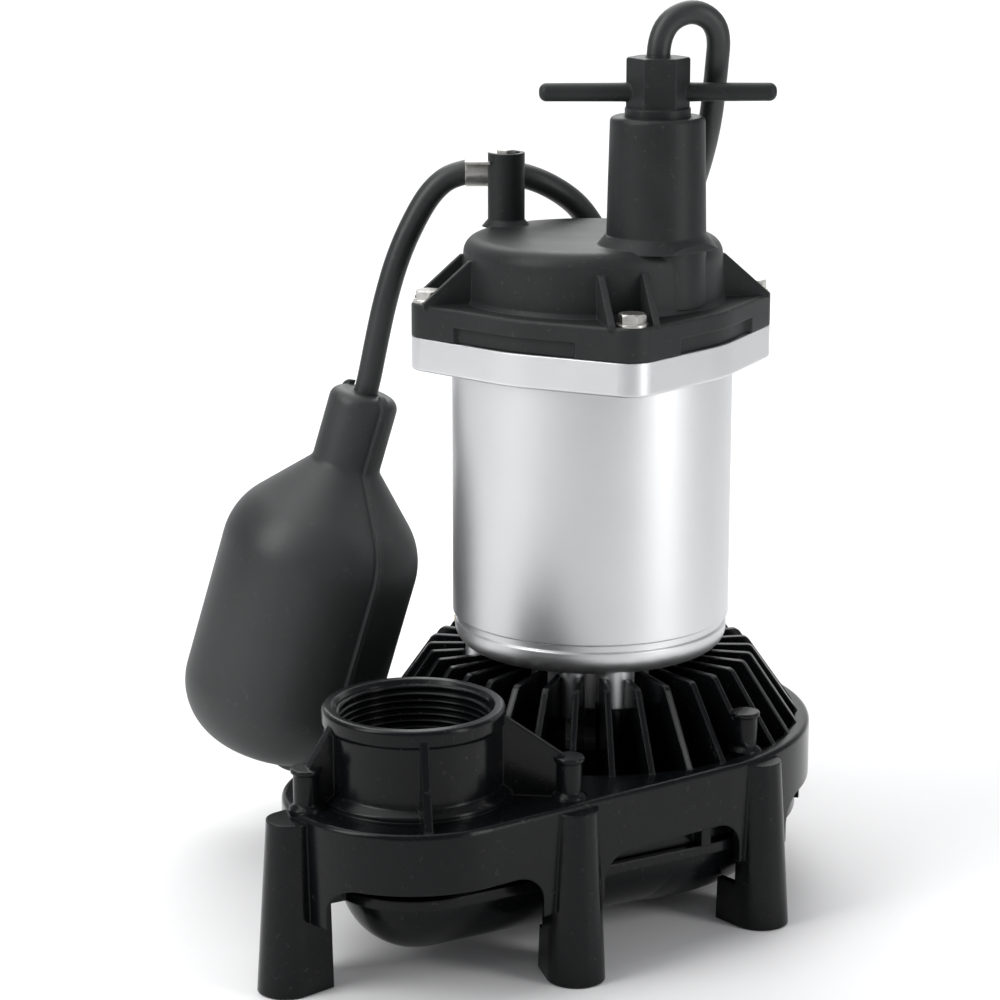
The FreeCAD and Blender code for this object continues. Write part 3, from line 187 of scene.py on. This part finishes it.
def moulded(name, look):
    # injection moulding: slow shade, a fine skin, edges lightened partly by rubbing wear and partly as a
    # painted highlight, and a little settled dust
    f = Finish(name)
    shade = f.noise(look["cloud"], 4.0)
    skin = f.noise(look["skin"], 2.0, 0.6)
    speck = f.ramp(f.noise(look["speck"], 2.0, 0.7), 0.64, 0.72, 0.0, look["dust"])
    edgeWearAndHighlight, normal = f.edges(look["edge"])
    body = f.mix(f.ramp(shade, 0.3, 0.7, 0.0, 1.0), look["dark"], look["light"])
    # edges are mixed towards a lighter colour: partly real wear, partly a painted highlight
    body = f.mix(f.math("MULTIPLY", edgeWearAndHighlight, look["edgeWearAndHighlight"]), body, look["wornAndHighlitColour"])
    body = f.mix(speck, body, look["dustColour"])
    rough = f.ramp(shade, 0.25, 0.75, look["rough"][0], look["rough"][1])
    rough = f.math("ADD", rough, f.math("MULTIPLY", speck, finishDetail["dustRough"]))
    socket(f.shader, "Specular IOR Level").default_value = look.get("specular", 0.5)
    return f.finish(body, rough, skin, look["depth"], normal)


def metal(name, look):
    # plated, drawn or turned metal: streaks along one way, blotches and bright edges, the edges brightened
    # partly by wear and partly as a painted highlight
    f = Finish(name)
    socket(f.shader, "Metallic").default_value = 1.0
    streak = f.noise(look["fine"], 4.0, 0.7, f.stretch(*look["along"]))
    blotch = f.noise(look["cloud"], 3.0)
    edgeWearAndHighlight, normal = f.edges(look["edge"])
    body = f.mix(f.ramp(blotch, 0.3, 0.7, 0.0, 1.0), look["dark"], look["light"])
    body = f.mix(f.ramp(streak, 0.35, 0.75, 0.0, look["streak"]), body, look["bright"])
    # edges are mixed towards the bright colour: partly real wear, partly a painted highlight
    body = f.mix(f.math("MULTIPLY", edgeWearAndHighlight, finishDetail["metalEdgeWearAndHighlight"]), body, look["bright"])
    rough = f.ramp(f.math("ADD", f.math("MULTIPLY", streak, 0.6), f.math("MULTIPLY", blotch, 0.4)),
                   0.3, 0.7, look["rough"][0], look["rough"][1])
    return f.finish(body, rough, streak, look["depth"], normal)


# in each moulded look the worn colour is the lighter edge colour: partly wear, partly a painted highlight
finishLooks = {
    "moulded_black": (moulded, {
        "dark": (0.0022, 0.0026, 0.003), "light": (0.0042, 0.0048, 0.0054), "wornAndHighlitColour": (0.03, 0.032, 0.033),
        "dustColour": (0.11, 0.105, 0.1), "cloud": 26.0, "skin": 900.0, "speck": 420.0, "dust": 0.12,
        "edge": 0.0009, "edgeWearAndHighlight": 0.2, "rough": (0.15, 0.25), "depth": 0.00003, "specular": 0.2}),
    "cap_black": (moulded, {
        "dark": (0.013, 0.015, 0.015), "light": (0.022, 0.0245, 0.0245), "wornAndHighlitColour": (0.07, 0.075, 0.075),
        "dustColour": (0.14, 0.135, 0.13), "cloud": 34.0, "skin": 1500.0, "speck": 520.0, "dust": 0.14,
        "edge": 0.0008, "edgeWearAndHighlight": 0.3, "rough": (0.42, 0.55), "depth": 0.00006, "specular": 0.26}),
    "float_black": (moulded, {
        "dark": (0.02, 0.0225, 0.0225), "light": (0.031, 0.034, 0.034), "wornAndHighlitColour": (0.075, 0.08, 0.08),
        "dustColour": (0.13, 0.13, 0.125), "cloud": 18.0, "skin": 1100.0, "speck": 380.0, "dust": 0.16,
        "edge": 0.0006, "edgeWearAndHighlight": 0.25, "rough": (0.42, 0.58), "depth": 0.00008}),
    "impeller": (moulded, {
        "dark": (0.03, 0.03, 0.032), "light": (0.05, 0.05, 0.052), "wornAndHighlitColour": (0.12, 0.12, 0.12),
        "dustColour": (0.2, 0.19, 0.17), "cloud": 60.0, "skin": 1300.0, "speck": 700.0, "dust": 0.3,
        "edge": 0.0005, "edgeWearAndHighlight": 0.4, "rough": (0.4, 0.6), "depth": 0.00006}),
    "inner_white": (moulded, {
        "dark": (0.66, 0.65, 0.6), "light": (0.78, 0.77, 0.72), "wornAndHighlitColour": (0.86, 0.86, 0.84),
        "dustColour": (0.4, 0.38, 0.33), "cloud": 50.0, "skin": 1200.0, "speck": 600.0, "dust": 0.12,
        "edge": 0.0004, "edgeWearAndHighlight": 0.3, "rough": (0.35, 0.5), "depth": 0.00004}),
    "splice": (moulded, {
        "dark": (0.62, 0.54, 0.34), "light": (0.76, 0.68, 0.46), "wornAndHighlitColour": (0.85, 0.8, 0.65),
        "dustColour": (0.3, 0.27, 0.2), "cloud": 80.0, "skin": 1500.0, "speck": 700.0, "dust": 0.1,
        "edge": 0.0004, "edgeWearAndHighlight": 0.3, "rough": (0.3, 0.45), "depth": 0.00004}),
    "rubber": (moulded, {
        "dark": (0.012, 0.012, 0.012), "light": (0.024, 0.024, 0.023), "wornAndHighlitColour": (0.05, 0.05, 0.05),
        "dustColour": (0.12, 0.12, 0.11), "cloud": 60.0, "skin": 1400.0, "speck": 600.0, "dust": 0.2,
        "edge": 0.0005, "edgeWearAndHighlight": 0.3, "rough": (0.5, 0.68), "depth": 0.00006}),
    "insulation": (moulded, {
        "dark": (0.02, 0.02, 0.02), "light": (0.05, 0.05, 0.05), "wornAndHighlitColour": (0.09, 0.09, 0.09),
        "dustColour": (0.15, 0.15, 0.15), "cloud": 90.0, "skin": 1600.0, "speck": 800.0, "dust": 0.1,
        "edge": 0.0003, "edgeWearAndHighlight": 0.2, "rough": (0.4, 0.55), "depth": 0.00004}),
    "ceramic": (moulded, {
        "dark": (0.74, 0.73, 0.68), "light": (0.84, 0.83, 0.79), "wornAndHighlitColour": (0.9, 0.9, 0.88),
        "dustColour": (0.5, 0.48, 0.42), "cloud": 90.0, "skin": 1800.0, "speck": 900.0, "dust": 0.1,
        "edge": 0.0003, "edgeWearAndHighlight": 0.2, "rough": (0.15, 0.3), "depth": 0.00002}),
    "cord": (moulded, {
        "dark": (0.016, 0.0175, 0.0175), "light": (0.027, 0.029, 0.029), "wornAndHighlitColour": (0.06, 0.06, 0.06),
        "dustColour": (0.12, 0.12, 0.115), "cloud": 45.0, "skin": 1300.0, "speck": 500.0, "dust": 0.16,
        "edge": 0.0004, "edgeWearAndHighlight": 0.2, "rough": (0.38, 0.55), "depth": 0.00007}),
    "housing": (metal, {
        "dark": (0.7, 0.705, 0.71), "light": (0.77, 0.775, 0.78), "bright": (0.84, 0.84, 0.85),
        "cloud": 14.0, "fine": 160.0, "along": (1.0, 1.0, 6.0), "streak": 0.12, "edge": 0.0006,
        "rough": (0.4, 0.47), "depth": 0.000003}),
    "zinc": (metal, {
        "dark": (0.5, 0.49, 0.46), "light": (0.66, 0.65, 0.61), "bright": (0.8, 0.79, 0.76),
        "cloud": 300.0, "fine": 700.0, "along": (1.0, 1.0, 1.0), "streak": 0.4, "edge": 0.0004,
        "rough": (0.24, 0.42), "depth": 0.00003}),
    "steel": (metal, {
        "dark": (0.5, 0.51, 0.53), "light": (0.6, 0.61, 0.63), "bright": (0.78, 0.79, 0.8),
        "cloud": 60.0, "fine": 300.0, "along": (1.0, 1.0, 20.0), "streak": 0.5, "edge": 0.0003,
        "rough": (0.18, 0.32), "depth": 0.00001}),
    "bearing": (metal, {
        "dark": (0.66, 0.67, 0.69), "light": (0.76, 0.77, 0.79), "bright": (0.88, 0.88, 0.9),
        "cloud": 80.0, "fine": 500.0, "along": (1.0, 1.0, 20.0), "streak": 0.3, "edge": 0.0003,
        "rough": (0.1, 0.2), "depth": 0.000005}),
    "core": (metal, {
        "dark": (0.12, 0.12, 0.13), "light": (0.24, 0.24, 0.25), "bright": (0.42, 0.42, 0.43),
        "cloud": 90.0, "fine": 260.0, "along": (0.2, 0.2, 9.0), "streak": 0.7, "edge": 0.0003,
        "rough": (0.38, 0.6), "depth": 0.00008}),
    "rotor_bars": (metal, {
        "dark": (0.52, 0.53, 0.54), "light": (0.64, 0.65, 0.66), "bright": (0.76, 0.77, 0.78),
        "cloud": 120.0, "fine": 500.0, "along": (1.0, 1.0, 1.0), "streak": 0.4, "edge": 0.0004,
        "rough": (0.35, 0.55), "depth": 0.00005}),
    "copper": (metal, {
        "dark": (0.45, 0.17, 0.06), "light": (0.62, 0.27, 0.1), "bright": (0.8, 0.42, 0.2),
        "cloud": 120.0, "fine": 420.0, "along": (1.0, 1.0, 0.15), "streak": 0.6, "edge": 0.0003,
        "rough": (0.28, 0.45), "depth": 0.0001}),
    "brass": (metal, {
        "dark": (0.5, 0.36, 0.14), "light": (0.68, 0.51, 0.23), "bright": (0.84, 0.7, 0.4),
        "cloud": 120.0, "fine": 500.0, "along": (1.0, 1.0, 12.0), "streak": 0.5, "edge": 0.0003,
        "rough": (0.22, 0.38), "depth": 0.00002}),
    "plug_pin": (metal, {
        "dark": (0.6, 0.52, 0.34), "light": (0.74, 0.66, 0.46), "bright": (0.86, 0.82, 0.68),
        "cloud": 150.0, "fine": 400.0, "along": (1.0, 6.0, 1.0), "streak": 0.5, "edge": 0.0004,
        "rough": (0.2, 0.34), "depth": 0.00001}),
}

print("finishes")
finishes = {name: make(name, look) for name, (make, look) in finishLooks.items()}


def wear(obj, slotName):
    obj.data.materials.clear()
    obj.data.materials.append(finishes[slotName])


for entry in frame["record"]["subparts"]:
    node = frame["nodes"][entry["node"]]
    for spot in node.material_slots:
        spot.material = finishes[entry["material_slot"]]


print("cords")

powerCordLook = {
    "diameter": 7.6,
    "route": [
        (19.6, -19.4, 279.5), (19.9, -19.4, 288.5), (30.2, -17.8, 294.4), (39.4, -14.6, 288.5),
        (38.6, -10.4, 273.0), (37.6, -3.6, 257.0), (35.5, 7.9, 242.3), (32.8, 22.6, 229.0),
        (30.2, 39.1, 214.9), (29.0, 55.3, 197.3), (30.1, 68.0, 175.5), (33.2, 76.0, 151.1),
        (35.5, 80.1, 125.7), (33.3, 82.3, 103.2), (29.0, 83.8, 88.3), (20.6, 86.9, 75.5),
        (8.9, 91.2, 66.1), (-5.0, 96.2, 61.0), (-18.8, 101.3, 60.2),
    ],
    "end": [
        (18.2, 107.8, 67.8), (3.3, 104.1, 67.9), (-11.8, 106.8, 69.0), (-24.5, 115.4, 71.6),
        (-32.7, 128.4, 74.4), (-34.8, 143.6, 75.5), (-33.6, 152.0, 75.5),
    ],
    "low": 33.6,
    "first": -117.6,      # where the run meets the coil, degrees round it
    "turns": 7.72,
    "way": -1,
    # (turn where a shift ends, column after it, row after it); column 1 is the outer one
    "shifts": [(0.87, 1, 3), (1.87, 1, 2), (2.87, 1, 1), (3.77, 0, 1), (4.67, 0, 2), (5.67, 0, 3),
               (6.67, 0, 4), (7.55, 0, 5)],
    "shiftLong": 0.1,
}
floatCordLook = {
    "diameter": 8.4,
    "route": [
        (-42.2, 36.0, 235.6), (-32.6, 36.0, 235.6), (-22.4, 37.2, 234.2), (-12.2, 40.8, 229.6),
        (-2.6, 47.6, 221.6), (4.8, 54.6, 208.6), (8.6, 60.8, 190.6), (7.9, 65.2, 170.2),
        (1.6, 69.5, 148.1), (-12.6, 71.7, 129.6), (-29.9, 74.0, 105.5), (-31.3, 76.5, 75.9),
        (-26.6, 78.2, 59.7), (-17.5, 81.5, 45.9), (-4.8, 86.1, 35.7), (10.2, 91.6, 30.2),
        (24.6, 96.9, 29.4),
    ],
    "end": [
        (51.9, 150.0, 4.2), (51.8, 165.0, 4.6), (47.2, 182.0, 8.6), (37.2, 197.0, 12.0),
        (25.0, 208.2, 12.5), (17.0, 213.6, 12.5),
    ],
    "low": 0.0,
    "first": -62.9,
    "turns": 7.14,
    "way": 1,
    "shifts": [(0.9, 0, 4), (1.8, 0, 3), (2.7, 1, 3), (3.6, 1, 2), (4.5, 0, 2), (5.4, 0, 1), (6.3, 1, 1)],
    "shiftLong": 0.11,
}
coilAt = (2.0, 141.0)
coilAcross = 10.7        # cord diameters, at the middle of the turns
pointsPerTurn = 16
columnPitch = 1.02       # cord diameters between the two columns
cordMesh = {"along": 8, "round": 7}


def coilPoints(look):
    # every turn keeps its own row and column and shifts to the next over a short stretch
    d = look["diameter"]
    lift = 1.0 / cos(pi / pointsPerTurn)      # the spline runs a little inside its points
    step = 1.0 / pointsPerTurn
    points = []
    for k in range(1, int(look["turns"] * pointsPerTurn) + 1):
        t = k * step
        column, row = 1.0, 4.0
        for end, nextColumn, nextRow in look["shifts"]:
            share = min(max((t - end + look["shiftLong"]) / look["shiftLong"], 0.0), 1.0)
            share = share * share * (3.0 - 2.0 * share)
            column += (nextColumn - column) * share
            row += (nextRow - row) * share
        reach = (coilAcross / 2.0 - 0.5 + column * columnPitch) * d * lift
        angle = radians(look["first"]) + look["way"] * 2.0 * pi * t
        z = look["low"] + (row - 0.5) * d
        points.append((coilAt[0] + reach * cos(angle), coilAt[1] + reach * sin(angle), z))
    return points


def splineOf(name, points, diameter):
    # one open quadratic spline with a round section; its points are control points
    data = bpy.data.curves.new(name, "CURVE")
    data.dimensions = "3D"
    spline = data.splines.new("NURBS")
    spline.points.add(len(points) - 1)
    for point, place in zip(spline.points, points):
        point.co = (*turned(*place), 1.0)
    spline.order_u = 3
    spline.use_endpoint_u = True
    data.resolution_u = cordMesh["along"]
    data.bevel_depth = diameter * mm / 2.0
    data.bevel_resolution = cordMesh["round"]
    data.use_fill_caps = True
    data.twist_mode = "MINIMUM"
    obj = bpy.data.objects.new(name, data)
    scene.collection.objects.link(obj)
    return obj


def centreLine(points):
    # the points that a spline through these control points follows
    line = splineOf("line", points, 0.0)
    bpy.context.view_layer.update()
    mesh = bpy.data.meshes.new_from_object(line.evaluated_get(bpy.context.evaluated_depsgraph_get()))
    spots = [v.co.copy() for v in mesh.vertices]
    data = line.data
    bpy.data.objects.remove(line)
    bpy.data.curves.remove(data)
    bpy.data.meshes.remove(mesh)
    return spots


def lengthOf(spots):
    return sum((b - a).length for a, b in zip(spots, spots[1:]))


def makeCord(name, look, solids):
    points = look["route"] + coilPoints(look) + look["end"]
    cord = splineOf(name, points, look["diameter"])
    wear(cord, "cord")
    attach(cord, "pump")
    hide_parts(*solids)
    long = lengthOf(centreLine(points))
    print(name, "is", round(long, 3), "m long")


makeCord("powerCord", powerCordLook,
         ["power_cord_run", "power_cord_coil", "power_cord_end"])
makeCord("floatCord", floatCordLook,
         ["float_cord_run", "float_cord_coil", "float_cord_end"])


print("tether")

tetherLook = {
    "diameter": 8.4,
    "route": [
        (-40.0, 36.0, 235.6), (-46.5, 36.0, 234.6), (-53.0, 36.0, 229.6), (-58.3, 36.0, 221.6),
        (-65.0, 36.0, 207.4), (-70.0, 36.0, 190.5), (-73.6, 36.0, 173.5), (-76.0, 36.0, 161.4),
        (-79.6, 36.0, 149.0),
    ],
    "bendStarts": (-42.4, 36.0, 235.6),
    "bendEnds": (-62.0, 36.0, 212.0),
}


def makeTether():
    curve = splineOf("tetherCurve", tetherLook["route"], tetherLook["diameter"])
    bpy.context.view_layer.update()
    mesh = bpy.data.meshes.new_from_object(curve.evaluated_get(bpy.context.evaluated_depsgraph_get()))
    data = curve.data
    bpy.data.objects.remove(curve)
    bpy.data.curves.remove(data)
    tether = bpy.data.objects.new("floatTether", mesh)
    scene.collection.objects.link(tether)
    for face in mesh.polygons:
        face.use_smooth = True
    wear(tether, "cord")
    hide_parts("float_tether")
    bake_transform(tether)


makeTether()


print("thread")

threadLook = {
    "at": (-57.4, -83.0), "pitch": 2.21, "crest": 1.15,
    "start": 1.7, "depth": 24.5, "wall": 24.2, "steps": 72,
    "sunk": 0.12,         # how far its root goes into the wall
    "fade": 0.5,          # turns over which it fades out at each end
    "half": 0.44,         # half its width at the root, in pitches
    "flat": 0.12,         # of that, at the crest
    "soft": 0.12,         # width of its softened edges
}


def meshPiece(name, build, slotName, body, smooth=True):
    data = bpy.data.meshes.new(name)
    mesh = bmesh.new()
    build(mesh)
    bmesh.ops.recalc_face_normals(mesh, faces=mesh.faces)
    mesh.to_mesh(data)
    mesh.free()
    for face in data.polygons:
        face.use_smooth = smooth
    obj = bpy.data.objects.new(name, data)
    scene.collection.objects.link(obj)
    wear(obj, slotName)
    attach(obj, body)
    return obj


def threadRidge(mesh):
    # a ridge that winds down the collar's bore and fades out at both ends
    look = threadLook
    middle = turned(*look["at"])
    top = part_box("base_casing")[1][2] - look["start"] * mm
    turns = look["depth"] / look["pitch"]
    count = int(turns * look["steps"])
    rings = []
    for k in range(count + 1):
        turn = k / look["steps"]
        fade = min(1.0, turn / look["fade"], (count - k) / look["steps"] / look["fade"])
        angle = 2.0 * pi * turn
        z = top - turn * look["pitch"] * mm
        root = (look["wall"] + look["sunk"]) * mm
        crest = (look["wall"] - look["crest"] * fade + look["sunk"] / 2.0 * (1.0 - fade)) * mm
        half = look["pitch"] * look["half"] * mm
        ring = []
        for reach, lift in ((root, half), (crest, half * look["flat"]),
                            (crest, -half * look["flat"]), (root, -half)):
            ring.append(mesh.verts.new(middle + Vector((reach * cos(angle), reach * sin(angle), z + lift))))
        rings.append(ring)
    for a, b in zip(rings, rings[1:]):
        for k in range(4):
            mesh.faces.new((a[k], a[(k + 1) % 4], b[(k + 1) % 4], b[k]))
    mesh.faces.new(rings[0])
    mesh.faces.new(rings[-1])


thread = meshPiece("dischargeThread", threadRidge, "moulded_black", "pump")
softened = thread.modifiers.new("edges", "BEVEL")
softened.width = threadLook["soft"] * mm
softened.segments = 2


print("floor and lights")

floorLook = {
    "front": -2.6, "bend": 1.1, "radius": 0.9, "steps": 14, "top": 3.2, "half": 3.2,
    "below": 0.0003,      # under the feet, so that nothing shares its plane
    "dark": (0.86, 0.86, 0.86), "light": (0.9, 0.9, 0.9), "rough": (0.55, 0.65), "depth": 0.00002,
}


def stagePlane():
    # a pale floor that curves up into the backdrop
    data = bpy.data.meshes.new("floor")
    mesh = bmesh.new()
    look = floorLook
    profile = [(look["front"], 0.0), (look["bend"], 0.0)]
    for k in range(1, look["steps"] + 1):
        a = pi / 2.0 * k / look["steps"]
        profile.append((look["bend"] + look["radius"] * sin(a), look["radius"] * (1.0 - cos(a))))
    profile.append((look["bend"] + look["radius"], look["top"]))
    rows = []
    for x in (-look["half"], look["half"]):
        rows.append([mesh.verts.new((x, y, z - look["below"])) for y, z in profile])
    for k in range(len(profile) - 1):
        face = mesh.faces.new((rows[0][k], rows[0][k + 1], rows[1][k + 1], rows[1][k]))
        face.smooth = True
    bmesh.ops.recalc_face_normals(mesh, faces=mesh.faces)
    mesh.to_mesh(data)
    mesh.free()
    floor = bpy.data.objects.new("floor", data)
    floor.rotation_euler = (0.0, 0.0, frontTurn)
    scene.collection.objects.link(floor)
    paper = Finish("paper")
    tone = paper.noise(3.0, 3.0)
    grain = paper.noise(700.0, 2.0)
    colour = paper.mix(tone, look["dark"], look["light"])
    paper.finish(colour, paper.ramp(tone, 0.2, 0.8, *look["rough"]), grain, look["depth"])
    floor.data.materials.append(paper.material)


def softLight(name, place, aim, size, power):
    data = bpy.data.lights.new(name, "AREA")
    data.shape = "RECTANGLE"
    data.size, data.size_y = size
    data.energy = power
    light = bpy.data.objects.new(name, data)
    light.location = turned(*place)
    way = turned(*aim) - light.location
    light.rotation_euler = way.to_track_quat("-Z", "Y").to_euler()
    scene.collection.objects.link(light)


stagePlane()
lights = {
    # name: place, aim, size, power
    "keyLight": ((-760, -420, 760), (0, 0, 130), (0.4, 0.9), 7.0),
    "fillLight": ((820, -520, 420), (0, 0, 120), (0.25, 0.9), 3.6),
    "topLight": ((-150, 200, 1050), (0, 0, 100), (1.0, 0.7), 4.6),
    "backLight": ((-100, 900, 800), (0, 0, 150), (0.7, 0.5), 3.0),
    "backdropLight": ((0, 1050, 1500), (0, 1900, 300), (2.4, 0.4), 20.0),
}
for name, look in lights.items():
    softLight(name, *look)

worldLook = {"colour": (0.95, 0.96, 1.0, 1.0), "strength": 0.32}
world = bpy.data.worlds.new("studio")
scene.world = world
world.use_nodes = True
background = world.node_tree.nodes["Background"]
background.inputs["Color"].default_value = worldLook["colour"]
background.inputs["Strength"].default_value = worldLook["strength"]
scene.view_settings.view_transform = "Standard"
